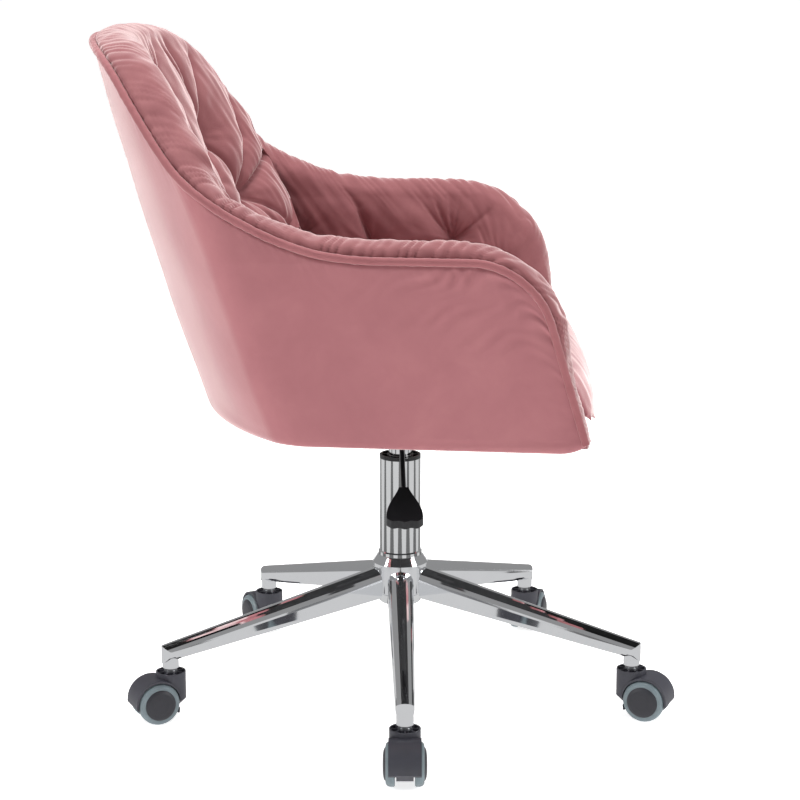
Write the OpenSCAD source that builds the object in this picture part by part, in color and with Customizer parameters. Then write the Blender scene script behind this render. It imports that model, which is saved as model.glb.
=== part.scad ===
// Upholstered swivel chair for a styling station: tub shell, gas lift, five-star base, twin-wheel casters
// The origin is on the floor at the swivel axis. The sitter faces -Y, and +Z is up.

/* [Base] */
// Distance from the swivel axis to each caster stem
base_r = 289; // [270:1:310]
// Turn of the base about the column, as it stands
base_turn = 2.3; // [-30:0.1:30]
// Height of the underside of each leg's socket
socket_z = 64; // [62:0.5:68]
// Radius of each leg's socket
socket_r = 9.75; // [9:0.25:11]
// Height of the top of the hub
hub_z = 168; // [160:1:180]
// Radius of the hub
hub_r = 32.5; // [30:0.5:36]
// Width of a leg at the hub
leg_w = 33; // [28:1:38]
// Height of a leg at the hub
leg_h = 39; // [32:1:42]
// Wall of a leg
leg_wall = 2; // [1.5:0.5:3]

/* [Casters] */
// Diameter of a wheel
wheel_d = 50; // [48:1:54]
// Horizontal distance from the stem to the axle
trail = 20.5; // [18:0.5:23]
// Way that each caster trails, in degrees anticlockwise from +X
caster_turn = [181.2, 248.4, 346.2, 29.2, 115.7]; // [0:0.1:360]
// Radius of the hood around the axle
hood_r = 28.5; // [27.5:0.5:30]
// Radius of the post above the wheels
post_r = 17.7; // [16.5:0.1:18.5]

/* [Gas lift] */
// Outer radius of the column tube
tube_r = 25; // [24:0.5:27]
// Height of the top of the column tube
tube_top = 298; // [290:1:300]
// Radius of the sliding cylinder
cyl_r = 14; // [13:0.5:14]
// Height of the underside of the seat plate's socket
seat_socket_z = 336; // [334:1:340]

/* [Lever] */
// Turn of the lever towards the front
lever_turn = 2.4; // [0:0.1:5]
// Distance from the swivel axis to the outer end of the lever's rod
lever_reach = 222; // [200:1:230]
// Height of the outer end of the lever's rod
lever_z = 299; // [296:1:306]
// Width of the paddle at its fingers
paddle_w = 40.5; // [36:0.5:43]

/* [Shell] */
// Height of the hem at the back of the shell
hem_z = 380; // [378:1:382]
// Height of the piping on the arms
arm_z = 581; // [570:1:590]
// Height of the piping at the middle of the back
top_z = 802; // [790:1:815]
// Half width of the shell at the hem
hem_half_w = 273; // [268:1:280]
// Half width of the shell at the arms
arm_half_w = 302; // [296:1:308]
// Middle of the back at the hem
hem_back_y = 229; // [224:1:236]
// Front of the side panels at the hem
hem_front_y = -207; // [-212:1:-200]
// Lean of the back
back_lean = 16.4; // [14:0.1:19]
// Lean of the arms' front edges
front_lean = 16.4; // [14:0.1:19]
// Thickness of the padding on the arms
arm_pad_t = 56; // [52:1:60]
// Thickness of the padding on the back
back_pad_t = 86; // [78:1:92]
// Thickness of the back's padding at its rim
back_top_t = 60; // [52:1:70]
// Radius of the piping
piping_r = 4.5; // [3.5:0.5:5]

/* [Hidden] */
$fn = 64;
overlap = 0.01;
leg_count = 5;
run_gap = 0.05;

// Base
hub_h = 36;
hub_low = hub_z - hub_h;
cone_h = 9;
cone_top_r = 27.8;
leg_tip_r = 10.75;
leg_tip_h = 14;
leg_tip_z = 91;
leg_top_z = hub_z + 3;
stem_r = 5.5;
stem_top = 86;

// Casters
wheel_r = wheel_d / 2;
axle_r = 3;
post_top = 59;
web_half_w = 9.6;
hood_half_w = 18.3;
pocket_r = wheel_r + 0.9;
wheel_in = 10;
tread_in = 11;
tread_out = 21.5;
cap_out = 24.7;
rim_r = 18.5;

// Gas lift
tube_in_r = 22.5;
tube_low = 118;
collar_h = 4;
rod_r = 5;
bush_low = 240;
cyl_low = 160;
cyl_cap = 10;
chamber_r = 11;
chamber_top = 326;
cyl_top = 346.4;
rod_low = 122;
head_z = 272;
head_h = 8;
bearing_z = 128;
bearing_h = 10;
pin_r = 2.5;
pin_top = 354.6;

// Seat plate and lever
plate_z = 379.5;
plate_t = 2.8;
plate_size = [196, 156];
channel_size = [60, 110];
channel_low = 344;
wall_t = 2.5;
bolt_grid = [160, 120];
bolt_r = 3;
lever_r = 3;
lever_pivot = [-23.5, 352.4];
pivot_r = 1.5;
pivot_half = 8;
lug_y = 5;
lever_inner_x = 8;
lever_slope = atan2(lever_pivot[1] - lever_z, lever_reach + lever_pivot[0]);
paddle_len = 76;
paddle_root = 27;
paddle_neck = 5.5;
paddle_t = 9.5;

// Shell
board_z = 384;
board_t = 12;
hem_drop = 6;
hem_front_drop = 8;
hem_round = 9;
hem_round_u = 0.05;
taper_h = 190;
cover_t = 5;
frame_t = 11;
frame_off = cover_t + 1;
pad_off = frame_off + frame_t + 2.6;
arm_roll = 17;
back_roll = 10;
corner_r = 55;
back_r_low = 400;
back_r_high = 540;
back_belly = 5;
side_u = 0.46;
corner_u = 0.55;
wall_levels = 6;
front_round_r = 65;
// Height of the rim above the arms, as a share of the rise to the top, at these places along the side
rim_u = [0, 0.30, 0.38, 0.46, 0.56, 0.64, 0.72, 0.84, 1];
rim_share = [0, 0.015, 0.07, 0.22, 0.47, 0.78, 0.925, 0.985, 1];

function clamp01(x) = min(1, max(0, x));
function mix(a, b, f) = a + (b - a) * f;
function ease(f) = f * f * (3 - 2 * f);
// Share of the way from the hem to the top of the back at height z
function rise(z) = clamp01((z - hem_z) / (top_z - hem_z));
function half_w(z) = mix(hem_half_w, arm_half_w, clamp01((z - hem_z) / (arm_z - hem_z)));
function back_y(z) = hem_back_y + (z - hem_z) * tan(back_lean) + back_belly * sin(180 * rise(z));
function back_r(z) = mix(back_r_low, back_r_high, clamp01((z - hem_z) / 370));
function front_y(z) = hem_front_y + (z - hem_z) * tan(front_lean);
// The plan outline of the shell's right half at height z, from the front (u = 0) to the middle of the back
// (u = 1): a straight side, a corner arc and a shallow back arc
function side_xy(u, z) =
    let (w = half_w(z), r = back_r(z), arc_y = back_y(z) - r,
         corner_y = arc_y + sqrt(pow(r - corner_r, 2) - pow(w - corner_r, 2)),
         turn = atan2(corner_y - arc_y, corner_r - w))
    u < side_u ? [-w, mix(front_y(z), corner_y, u / side_u)] :
    u < corner_u ? let (a = mix(180, turn, (u - side_u) / (corner_u - side_u)))
        [corner_r - w + corner_r * cos(a), corner_y + corner_r * sin(a)] :
    let (a = mix(turn, 90, (u - corner_u) / (1 - corner_u))) [r * cos(a), arc_y + r * sin(a)];
function wall_xy(u, z) = u <= 1 ? side_xy(u, z) : let (p = side_xy(2 - u, z)) [-p[0], p[1]];
// Point on the shell at u and height z, moved inwards by off
function wall_point(u, z, off) =
    let (p = wall_xy(u, z), d = wall_xy(u + 0.002, z) - wall_xy(u - 0.002, z), n = [d[1], -d[0]] / norm(d))
    [p[0] + off * n[0], p[1] + off * n[1], z];
function fold(u) = u > 1 ? 2 - u : u;
function rim_rise(u) = lookup(fold(u), [for (i = [0:len(rim_u) - 1]) [rim_u[i], rim_share[i]]]);
function smooth_rise(u) = (rim_rise(u - 0.03) + rim_rise(u) + rim_rise(u + 0.03)) / 3;
// Sine of the rim's slope where it turns down to the front edge, and the cosine that goes with it
function rim_turn(u) = clamp01(1 - (wall_xy(fold(u), arm_z)[1] - front_y(arm_z)) / front_round_r);
function rim_level(u) = sqrt(1 - pow(rim_turn(u), 2));
function rim_z(u) = mix(arm_z, top_z, smooth_rise(u)) - front_round_r * (1 - rim_level(u));
// Height of the hem, which dips towards the front and is rounded up at the front corners
function low_z(u) = hem_z - hem_drop - hem_front_drop * (1 - clamp01(fold(u) / 0.5))
    + hem_round * pow(clamp01(1 - fold(u) / hem_round_u), 2);
// Heights up the wall that every layer shares, from level 0 at the hem to wall_levels below the rim
function wall_z(u, k) = mix(low_z(u) + 12, rim_z(u) - 16, k / wall_levels);
// Thickness of the padding at u and height z: the back's is thinner towards its rim
function backness(u) = ease(clamp01((fold(u) - 0.42) / 0.18));
function pad_t(u, z) = mix(mix(arm_pad_t, back_top_t, backness(u)), mix(arm_pad_t, back_pad_t, backness(u)),
    ease(clamp01((rim_z(u) - z) / taper_h)));

// A closed solid through a list of rings, each a list of the same number of points
module loft(rings) {
    n = len(rings);
    m = len(rings[0]);
    points = [for (ring = rings) for (p = ring) p];
    sides = [for (i = [0:n - 2]) for (j = [0:m - 1]) let (a = i * m + j, b = i * m + (j + 1) % m)
        each [[a, b, b + m], [a, b + m, a + m]]];
    caps = [[for (j = [m - 1:-1:0]) j], [for (j = [0:m - 1]) (n - 1) * m + j]];
    polyhedron(points, concat(sides, caps), convexity = 8);
}

// ---- Base ----

module leg_section(w, h) {
    hull() {
        translate([0, h - w / 2]) circle(w / 2, $fn = 32);
        for (x = [-1, 1]) translate([x * (w / 2 - 3), 3]) circle(3, $fn = 16);
    }
}

module leg_solid(inset) {
    tip_h = leg_tip_h - 2 * inset;
    tip_w = 2 * (leg_tip_r - inset);
    hull() {
        translate([0, 0, leg_top_z - leg_h + inset]) rotate([90, 0, 90])
            linear_extrude(1) leg_section(leg_w - 2 * inset, leg_h - 2 * inset);
        translate([base_r + leg_tip_r - 0.5 - inset * 8, 0, leg_tip_z - leg_tip_h + inset]) rotate([90, 0, 90])
            linear_extrude(1) leg_section(min(tip_w, tip_h * 2), tip_h);
    }
}

module leg_plan() {
    hull() {
        translate([base_r, 0]) circle(leg_tip_r);
        translate([0, -leg_w / 2 - 1]) square([1, leg_w + 2]);
    }
}

module leg(i) {
    color("gainsboro")
    rotate(180 + base_turn + i * 360 / leg_count)
    difference() {
        union() {
            intersection() {
                leg_solid(0);
                translate([0, 0, socket_z]) linear_extrude(leg_h * 3) leg_plan();
            }
            translate([base_r, 0, socket_z]) cylinder(h = leg_tip_z - leg_tip_h / 2 - socket_z, r = socket_r);
        }
        difference() {
            leg_solid(leg_wall);
            translate([base_r, 0, 0]) cylinder(h = leg_top_z, r = socket_r + 4);
        }
        cylinder(h = leg_top_z * 2, r = hub_r + run_gap);
        translate([base_r, 0, socket_z - overlap]) cylinder(h = stem_top + 1 - socket_z, r = stem_r + run_gap);
    }
}

module hub() {
    color("gainsboro") rotate_extrude() polygon([
        [tube_r, hub_low + 4], [tube_r + 3, hub_low], [hub_r - 1.5, hub_low], [hub_r, hub_low + 1.5],
        [hub_r, hub_z], [hub_r + 1, hub_z + 0.5], [cone_top_r, hub_z + cone_h], [cone_top_r - 0.8, hub_z + cone_h + 1],
        [tube_r, hub_z + cone_h + 1]]);
}

module column_tube() {
    color("gainsboro") rotate_extrude() polygon([
        [rod_r + 1, tube_low], [tube_r - 1, tube_low], [tube_r, tube_low + 1],
        [tube_r, hub_z + cone_h + 1], [tube_r + 1.6, hub_z + cone_h + 1], [tube_r + 1.6, hub_z + cone_h + 5],
        [tube_r, hub_z + cone_h + 6.5], [tube_r, tube_top], [tube_in_r, tube_top],
        [tube_in_r, tube_low + 4], [rod_r + 1, tube_low + 4]]);
}

module guide_bush() {
    color("dimgray") {
        difference() {
            union() {
                translate([0, 0, bush_low]) cylinder(h = tube_top - bush_low, r = tube_in_r);
                translate([0, 0, tube_top]) cylinder(h = collar_h, r = tube_r);
            }
            translate([0, 0, bush_low - 1]) cylinder(h = 100, r = cyl_r + run_gap);
            translate([0, 0, tube_top - 4]) difference() {
                cylinder(h = 20, r = tube_r - 3);
                translate([0, 0, -1]) cylinder(h = 30, r = cyl_r + 2);
                for (a = [0:45:315]) rotate(a) translate([cyl_r, -0.8, -1]) cube([12, 1.6, 30]);
            }
        }
    }
}

// ---- Casters: each is drawn with its stem on the Z axis and its axle out along +X ----

module place_caster(i) {
    rotate(180 + base_turn + (i - 1) * 360 / leg_count) translate([base_r, 0, 0])
        rotate(caster_turn[i - 1] - (180 + base_turn + (i - 1) * 360 / leg_count)) children();
}

module on_axle() {
    translate([trail, 0, wheel_r]) rotate([-90, 0, 0]) children();
}

module caster_stem(i) {
    color("silver") place_caster(i) {
        translate([0, 0, 40]) cylinder(h = stem_top - 40, r = stem_r);
        translate([0, 0, post_top - 1]) cylinder(h = 2.5, r = 7.6);
        translate([0, 0, post_top + 1.5]) cylinder(h = socket_z - post_top - 1.6, r = 6.6);
    }
}

module caster_hood(i) {
    color("#45454d") place_caster(i) difference() {
        union() {
            translate([0, 0, 26]) cylinder(h = post_top - 26, r = post_r);
            translate([0, 0, 26 - 7]) cylinder(h = 7, r1 = post_r - 7, r2 = post_r);
            intersection() {
                on_axle() translate([0, 0, -hood_half_w]) cylinder(h = 2 * hood_half_w, r = hood_r);
                translate([0, 50, 0]) rotate([90, 0, 0]) linear_extrude(100)
                    polygon([[-4, 12], [37, 11], [50, 23], [50, 60], [-8, 60]]);
            }
        }
        for (side = [-1, 1]) on_axle() translate([0, 0, side * (web_half_w + 15) - 15]) cylinder(h = 30, r = pocket_r);
        on_axle() translate([0, 0, -30]) cylinder(h = 60, r = axle_r);
        translate([0, 0, 40]) cylinder(h = 50, r = stem_r);
        translate([0, 0, post_top - 1]) cylinder(h = 50, r = 7.6);
        translate([0, 0, post_top - 8]) difference() {
            cylinder(h = 20, r = post_r - 1.8);
            translate([0, 0, -1]) cylinder(h = 30, r = 8.8);
            for (a = [0:45:315]) rotate(a) translate([7, -0.7, -1]) cube([10, 1.4, 30]);
        }
    }
}

module caster_axle(i) {
    color("silver") place_caster(i) on_axle() translate([0, 0, -17.5]) cylinder(h = 35, r = axle_r);
}

// side is 1 for the wheel on the caster's left and -1 for the one on its right
module caster_wheel(i, side) {
    color("#3b3b44") place_caster(i) on_axle() mirror([0, 0, side < 0 ? 0 : 1]) rotate_extrude() polygon([
        [axle_r + run_gap, wheel_in], [7, wheel_in], [7, wheel_in + 7], [15.5, wheel_in + 7], [15.5, tread_in],
        [rim_r, tread_in], [rim_r, tread_out + 0.4], [rim_r - 1, cap_out - 2], [rim_r - 3.5, cap_out - 0.9],
        [rim_r - 9, cap_out - 0.2], [0, cap_out], [0, 18.5], [axle_r + run_gap, 18.5]]);
}

module caster_tyre(i, side) {
    color("#8fa3ad") place_caster(i) on_axle() mirror([0, 0, side < 0 ? 0 : 1]) rotate_extrude() polygon([
        [rim_r, tread_in], [wheel_r - 1, tread_in], [wheel_r, tread_in + 1], [wheel_r, tread_out - 5],
        [wheel_r - 0.8, tread_out - 2.4], [wheel_r - 2.4, tread_out - 0.7], [wheel_r - 4.2, tread_out],
        [rim_r, tread_out]]);
}

// ---- Gas lift ----

module thrust_bearing() {
    color("silver") rotate_extrude() polygon([
        [rod_r, bearing_z], [12, bearing_z], [12, bearing_z + 3], [11, bearing_z + 4], [11, bearing_z + 6],
        [12, bearing_z + 7], [12, bearing_z + bearing_h], [rod_r, bearing_z + bearing_h]]);
}

module piston_rod() {
    color("silver") {
        translate([0, 0, rod_low]) cylinder(h = head_z + head_h - rod_low, r = rod_r);
        translate([0, 0, head_z]) cylinder(h = head_h, r = chamber_r - run_gap);
    }
}

module gas_cylinder() {
    color("gainsboro") rotate_extrude() polygon([
        [rod_r + run_gap, cyl_low], [cyl_r - 1, cyl_low], [cyl_r, cyl_low + 1], [cyl_r, cyl_top],
        [pin_r + run_gap, cyl_top], [pin_r + run_gap, chamber_top], [chamber_r, chamber_top], [chamber_r, cyl_low + cyl_cap],
        [rod_r + run_gap, cyl_low + cyl_cap]]);
}

module release_pin() {
    color("silver") translate([0, 0, chamber_top + 3]) cylinder(h = pin_top - chamber_top - 3, r = pin_r);
}

// ---- Seat plate and lever ----

module bolt_places() {
    for (x = [-1, 1], y = [-1, 1]) translate([x * bolt_grid[0] / 2, y * bolt_grid[1] / 2, 0]) children();
}

module seat_plate() {
    pivot_x = lever_pivot[0];
    lug_low = channel_low + wall_t - overlap;
    color("#2c2c30") {
        difference() {
            union() {
                translate([-plate_size[0] / 2, -plate_size[1] / 2, plate_z])
                    cube([plate_size[0], plate_size[1], plate_t]);
                translate([-channel_size[0] / 2, -channel_size[1] / 2, channel_low])
                    cube([channel_size[0], channel_size[1], plate_z - channel_low + overlap]);
                translate([0, 0, seat_socket_z]) cylinder(h = 20, r = cyl_r + 4);
            }
            translate([wall_t - channel_size[0] / 2, wall_t - channel_size[1] / 2, channel_low + wall_t])
                cube([channel_size[0] - 2 * wall_t, channel_size[1] - 2 * wall_t, plate_z - channel_low - wall_t]);
            translate([0, 0, seat_socket_z - 1]) cylinder(h = 40, r = cyl_r);
            place_lever() translate([-12, 0, 0]) rotate([0, 90, 0]) cylinder(h = 24, r = lever_r + 1.6);
            bolt_places() translate([0, 0, plate_z - 1]) cylinder(h = 10, r = bolt_r);
        }
        // lugs that hold the lever's pivot
        rotate(lever_turn) difference() {
            for (side = [-1, 1]) translate([pivot_x - 4, side * (lug_y + 1.25) - 1.25, lug_low])
                cube([8, 2.5, lever_pivot[1] + 4 - lug_low]);
            translate([pivot_x, 20, lever_pivot[1]]) rotate([90, 0, 0])
                cylinder(h = 40, r = pivot_r + run_gap);
        }
    }
}

module plate_bolts() {
    color("dimgray") bolt_places() {
        translate([0, 0, plate_z - 4]) cylinder(h = 4, r = 5.5);
        translate([0, 0, plate_z - 4]) cylinder(h = 4 + plate_t + board_t, r = bolt_r);
    }
}

// The lever's own frame: the pivot at its origin, and the paddle's end out along +X
module place_lever() {
    rotate(180 + lever_turn) translate([-lever_pivot[0], 0, lever_pivot[1]]) rotate([0, lever_slope, 0]) children();
}

module lever_bar() {
    inner = (lever_inner_x - lever_pivot[0]) / cos(lever_slope);
    outer = (lever_reach + lever_pivot[0]) / cos(lever_slope);
    translate([-inner, 0, 0]) rotate([0, 90, 0]) cylinder(h = inner + outer, r = lever_r);
}

module lever_rod() {
    color("#1b1b1d") place_lever() {
        lever_bar();
        translate([0, pivot_half, 0]) rotate([90, 0, 0]) cylinder(h = 2 * pivot_half, r = pivot_r);
    }
}

// Bell outline with three shallow finger waves along its outer end
module paddle_outline() {
    steps = 14;
    half = paddle_w / 2;
    function side(f) = mix(paddle_neck, half, pow(sin(90 * min(1, f / 0.84)), 1.35));
    function wave(y) = paddle_len - 5 * pow(abs(y) / half, 2.6) + 1.4 * cos(540 * y / half);
    polygon(concat(
        [for (k = [0:steps]) [paddle_len * 0.9 * k / steps, side(k / steps * 0.9)]],
        [for (k = [1:23]) let (y = half * (1 - k / 12)) [wave(y), y]],
        [for (k = [steps:-1:0]) [paddle_len * 0.9 * k / steps, -side(k / steps * 0.9)]]));
}

module lever_paddle() {
    root_x = (lever_reach - paddle_root + lever_pivot[0]) / cos(lever_slope);
    color("#1b1b1d") place_lever() difference() {
        translate([root_x, 0, -paddle_t / 2]) linear_extrude(paddle_t) paddle_outline();
        lever_bar();
    }
}

// ---- Upholstery ----

// Closed plan outline of the shell at height z, moved inwards by off
function plan_outline(z, off) = [for (i = [0:48]) let (p = wall_point(i / 24, z, off)) [p[0], p[1]]];

module seat_board() {
    color("burlywood") difference() {
        translate([0, 0, board_z]) linear_extrude(board_t) polygon(plan_outline(board_z, pad_off));
        bolt_places() translate([0, 0, board_z - 1]) cylinder(h = board_t + 2, r = bolt_r);
    }
}

module dust_cover() {
    color("#1c1c1e") difference() {
        translate([0, 0, plate_z + plate_t + 0.2]) linear_extrude(1) polygon(plan_outline(board_z, 30));
        bolt_places() translate([0, 0, plate_z]) cylinder(h = 10, r = bolt_r);
    }
}

// Places along the shell that every layer shares, closer together round the front and rear corners
half_u = concat([for (i = [0:5]) 0.015 * i], [for (i = [1:8]) mix(0.075, 0.44, i / 8)],
    [for (i = [1:9]) mix(0.44, 0.58, i / 9)], [for (i = [1:10]) mix(0.58, 1, i / 10)]);
shell_u = concat(half_u, [for (i = [len(half_u) - 2:-1:0]) 2 - half_u[i]]);
function u_steps(from, to) = concat([from], [for (u = shell_u) if (u > from + 0.001 && u < to - 0.001) u], [to]);

module shell_frame() {
    color("tan") loft([for (u = u_steps(0.02, 1.98))
        concat(
            [for (k = [0:wall_levels]) wall_point(u, wall_z(u, k), frame_off)],
            [for (k = [wall_levels:-1:0]) wall_point(u, wall_z(u, k), frame_off + frame_t)])]);
}

module outer_cover() {
    hem_lip = 28;
    color("rosybrown") loft([for (u = u_steps(0, 2))
        let (low = low_z(u), high = rim_z(u) - piping_r - 0.6)
        concat(
            [for (k = [0:wall_levels]) wall_point(u, wall_z(u, k), 0)],
            [wall_point(u, high, 0), wall_point(u, high, cover_t)],
            [for (k = [wall_levels:-1:0]) wall_point(u, wall_z(u, k), cover_t)],
            [wall_point(u, low + 3, 12), wall_point(u, low + 3, hem_lip)],
            [wall_point(u, low, hem_lip), wall_point(u, low, 12), wall_point(u, low + 4, 3)])]);
}

// The padding's section at u: up its back, over the roll beside the piping and down its inner face.
// No point of it comes closer to the cover than least.
function pad_ring(u, shrink, least = 0) =
    let (t = pad_t(u, rim_z(u)), z = rim_z(u), low = board_z + board_t + 0.4, mid = mix(low, z, 0.5),
         upper = mix(mid, z - 22, 0.5), full = mix(arm_roll, back_roll, ease(clamp01((fold(u) - 0.5) / 0.3))),
         roll = full * mix(0.2, 1, rim_level(u)))
    [for (p = concat(
        [[pad_off, low]], [for (k = [1:wall_levels]) [pad_off, wall_z(u, k)]],
        [[pad_off, z - 9.5], [cover_t + 1.2, z - 9], [cover_t + 0.2, z + roll * 0.25], [t * 0.16, z + roll * 0.7],
         [t * 0.42, z + roll], [t * 0.68, z + roll * 0.7], [t * 0.86, z - 3], [t * 0.97, z - 22],
         [pad_t(u, upper), upper], [pad_t(u, mid), mid], [pad_t(u, low), low]]))
        wall_point(u, mix(mid, p[1], shrink), max(least, mix(t / 2, p[0], shrink)))];

// Rounds off the front of the arm: how much smaller the section is at a distance ahead of the front edge
function front_ring(s, shrink) =
    [for (p = pad_ring(0, shrink)) [p[0], p[1] - s, p[2]]];

module arm_pad() {
    last_u = mix(0.075, 0.44, 7.5 / 8);
    color("palevioletred") loft(concat([front_ring(12, 0.8), front_ring(9, 0.92), front_ring(4, 0.98)],
        [for (u = u_steps(0, last_u)) pad_ring(u, 1)], [pad_ring(0.438, 0.9, pad_off + 2)]));
}

module arm_pad_right() {
    arm_pad();
}

module arm_pad_left() {
    mirror([1, 0, 0]) arm_pad();
}

module back_pad() {
    color("palevioletred") loft([for (u = u_steps(0.502, 1.498)) pad_ring(u, 1)]);
}

// Path of the piping: up the front edge of one arm, round the rim and down the other
function rim_point(u) = wall_point(u, rim_z(u), 0);
function edge_point(f) = wall_point(0, mix(low_z(0) + 4, rim_z(0), f), 0);
function mirrored(p) = [-p[0], p[1], p[2]];
function ring_at(c, d, r) =
    let (out = d / norm(d), side = cross(out, [0.3, 0.2, 1]), a = side / norm(side), b = cross(out, a))
    [for (k = [0:7]) c + r * (cos(k * 45) * a + sin(k * 45) * b)];

module piping() {
    front = [for (i = [0:7]) edge_point(i / 8)];
    path = concat(front, [for (u = u_steps(0, 2)) rim_point(u)], [for (i = [7:-1:0]) mirrored(front[i])]);
    last = len(path) - 1;
    color("indianred") loft([for (i = [0:last])
        ring_at(path[i], path[min(last, i + 1)] - path[max(0, i - 1)], piping_r)]);
}

module seat_cushion() {
    top = 463;
    low = board_z + board_t + 0.4;
    lip_low = 372;
    gap = 3.5;
    ref_w = half_w(low) - arm_pad_t - gap;
    function flare(z) = (half_w(z) - arm_pad_t - gap) / ref_w;
    // Section at x, where f falls from 1 to 0 at the cushion's sides
    function section(x, f) =
        let (r = back_r(low) - back_pad_t - gap, crown = top - 16 * (1 - f),
             back = back_y(low) - back_r(low) + sqrt(r * r - x * x) - 55 * (1 - f), bow = 7 * (1 - pow(x / ref_w, 2)), lip = f > 0 ? lip_low : low - 0.3)
        [for (p = [[-210, lip], [-210, low], [back, low], [back + 5, crown - 22], [back - 3, crown - 6],
            [mix(-145, back, 0.5), crown + 5], [-150, crown + 2], [-188 - bow / 2, crown - 3], [-209 - bow, crown - 22],
            [-220 - bow, crown - 50], [-222 - bow, crown - 72], [-217 - bow, lip]])
            [x * flare(max(p[1], low)), p[0], p[1]]];
    color("palevioletred")
    loft([for (x = [-1, -0.985, -0.94, -0.85, -0.7, -0.5, -0.25, 0, 0.25, 0.5, 0.7, 0.85, 0.94, 0.985, 1])
        section(x * ref_w, sqrt(1 - pow(abs(x), 8)))]);
}

hub();
leg(0);  // leg_1
leg(1);  // leg_2
leg(2);  // leg_3
leg(3);  // leg_4
leg(4);  // leg_5
column_tube();
guide_bush();
for (i = [1:leg_count]) {
    caster_stem(i);
    caster_hood(i);
    caster_axle(i);
    caster_wheel(i, 1);
    caster_wheel(i, -1);
    caster_tyre(i, 1);
    caster_tyre(i, -1);
}
thrust_bearing();
piston_rod();
gas_cylinder();
release_pin();
seat_plate();
plate_bolts();
lever_rod();
lever_paddle();
seat_board();
dust_cover();
shell_frame();
outer_cover();
piping();
arm_pad_right();
arm_pad_left();
back_pad();
seat_cushion();
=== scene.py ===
import math

import bpy
import numpy as np
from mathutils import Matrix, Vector


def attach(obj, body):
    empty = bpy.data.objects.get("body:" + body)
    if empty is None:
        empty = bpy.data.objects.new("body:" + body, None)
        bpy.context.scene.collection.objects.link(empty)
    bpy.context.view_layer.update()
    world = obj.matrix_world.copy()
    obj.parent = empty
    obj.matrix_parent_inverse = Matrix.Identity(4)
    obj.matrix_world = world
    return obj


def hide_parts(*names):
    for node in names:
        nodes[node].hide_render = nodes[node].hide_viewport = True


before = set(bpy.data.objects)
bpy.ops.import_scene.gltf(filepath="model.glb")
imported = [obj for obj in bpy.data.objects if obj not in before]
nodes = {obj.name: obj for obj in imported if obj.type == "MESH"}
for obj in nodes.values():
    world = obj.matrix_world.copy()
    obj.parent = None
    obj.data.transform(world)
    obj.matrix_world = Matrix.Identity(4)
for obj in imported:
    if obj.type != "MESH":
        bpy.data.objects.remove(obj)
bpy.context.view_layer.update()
MM = 0.001

# ---- The shell's shape, in millimetres, as in the CAD ----

HEM_Z, ARM_Z, TOP_Z = 380.0, 581.0, 802.0
CORNER_R, SIDE_U, CORNER_U = 55.0, 0.46, 0.55
FRONT_ROUND_R = 65.0
HEM_ROUND_U = 0.05
COVER_T, PAD_OFF = 5.0, 19.6
ARM_PAD_T, BACK_PAD_T, BACK_TOP_T, TAPER_H = 56.0, 86.0, 60.0, 190.0
ARM_ROLL, BACK_ROLL = 17.0, 10.0
BOARD_TOP_Z = 396.4
RIM_U = [0, 0.30, 0.38, 0.46, 0.56, 0.64, 0.72, 0.84, 1]
RIM_SHARE = [0, 0.015, 0.07, 0.22, 0.47, 0.78, 0.925, 0.985, 1]


def clamp01(x):
    return np.clip(x, 0.0, 1.0)


def mix(a, b, f):
    return a + (b - a) * f


def ease(f):
    f = clamp01(f)
    return f * f * (3 - 2 * f)


def half_w(z):
    return mix(273.0, 302.0, clamp01((z - HEM_Z) / (ARM_Z - HEM_Z)))


def back_y(z):
    rise = clamp01((z - HEM_Z) / (TOP_Z - HEM_Z))
    return 229 + (z - HEM_Z) * math.tan(math.radians(16.4)) + 5 * np.sin(math.pi * rise)


def back_r(z):
    return mix(400.0, 540.0, clamp01((z - HEM_Z) / 370))


def front_y(z):
    return -207 + (z - HEM_Z) * math.tan(math.radians(16.4))


def side_xy(u, z):
    w, r = half_w(z), back_r(z)
    arc_y = back_y(z) - r
    corner_y = arc_y + np.sqrt((r - CORNER_R) ** 2 - (w - CORNER_R) ** 2)
    turn = np.arctan2(corner_y - arc_y, CORNER_R - w)
    a = mix(math.pi, turn, (u - SIDE_U) / (CORNER_U - SIDE_U))
    b = mix(turn, math.pi / 2, (u - CORNER_U) / (1 - CORNER_U))
    straight, corner = u < SIDE_U, u < CORNER_U
    x = np.where(straight, -w, np.where(corner, CORNER_R - w + CORNER_R * np.cos(a), r * np.cos(b)))
    y = np.where(straight, mix(front_y(z), corner_y, u / SIDE_U),
                 np.where(corner, corner_y + CORNER_R * np.sin(a), arc_y + r * np.sin(b)))
    return x, y


def fold(u):
    return np.where(u > 1, 2 - u, u)


def wall_xy(u, z):
    x, y = side_xy(fold(u), z)
    return np.where(u > 1, -x, x), y


def wall_point(u, z, off):
    """The shell at u and height z, moved inwards by off.

    u runs from 0 at the right arm's front, round the back at 1, to 2 at the left arm's front."""
    u, z, off = np.broadcast_arrays(np.asarray(u, float), np.asarray(z, float), np.asarray(off, float))
    x, y = wall_xy(u, z)
    xa, ya = wall_xy(u + 0.002, z)
    xb, yb = wall_xy(u - 0.002, z)
    dx, dy = xa - xb, ya - yb
    n = np.hypot(dx, dy)
    return np.stack([x + off * dy / n, y - off * dx / n, z], -1)


def rim_rise(u):
    return np.interp(fold(u), RIM_U, RIM_SHARE)


def rim_level(u):
    turn = clamp01(1 - (wall_xy(fold(u), ARM_Z + 0 * u)[1] - front_y(ARM_Z)) / FRONT_ROUND_R)
    return np.sqrt(1 - turn ** 2)


def rim_z(u):
    u = np.asarray(u, float)
    share = sum(rim_rise(u + d) for d in np.linspace(-0.045, 0.045, 7)) / 7
    return mix(ARM_Z, TOP_Z, share) - FRONT_ROUND_R * (1 - rim_level(u))


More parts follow.
